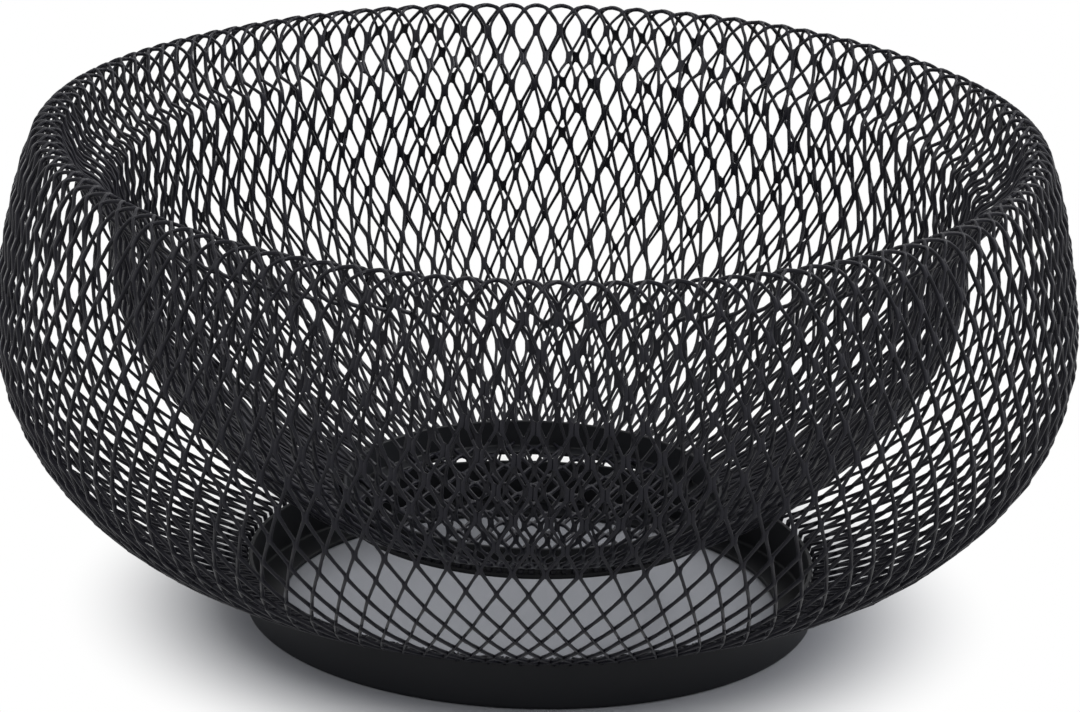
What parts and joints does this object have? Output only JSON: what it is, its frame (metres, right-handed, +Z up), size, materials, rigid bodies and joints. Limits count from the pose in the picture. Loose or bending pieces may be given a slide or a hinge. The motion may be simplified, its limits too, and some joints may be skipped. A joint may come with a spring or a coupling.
{
  "type": "fruit basket",
  "caption": "Round fruit basket of black expanded steel mesh, folded over at the rim into an inner mesh bowl, on a smooth foot ring.",
  "frame": {"origin": "on the basket's axis, at the underside of the foot ring, which stands on the table", "axes": "+Z up along the basket's axis; the basket is round, so +X and +Y may point any way, and -Y faces the viewer of the picture"},
  "size_m": [0.281, 0.281, 0.1314],
  "materials": {
    "outer_mesh_coat": "satin black powder coat on expanded steel",
    "inner_mesh_coat": "satin black powder coat on expanded steel",
    "floor_mesh_coat": "satin black powder coat on expanded steel",
    "foot_ring_coat": "satin black powder coat on smooth sheet steel",
    "inner_ring_coat": "satin black powder coat on smooth sheet steel"
  },
  "bodies": {
    "root": {"foot_ring": "foot_ring_coat", "inner_ring": "inner_ring_coat", "floor_mesh": "floor_mesh_coat", "outer_mesh_wall": "outer_mesh_coat", "inner_mesh_wall": "inner_mesh_coat"}
  },
  "joints": []
}
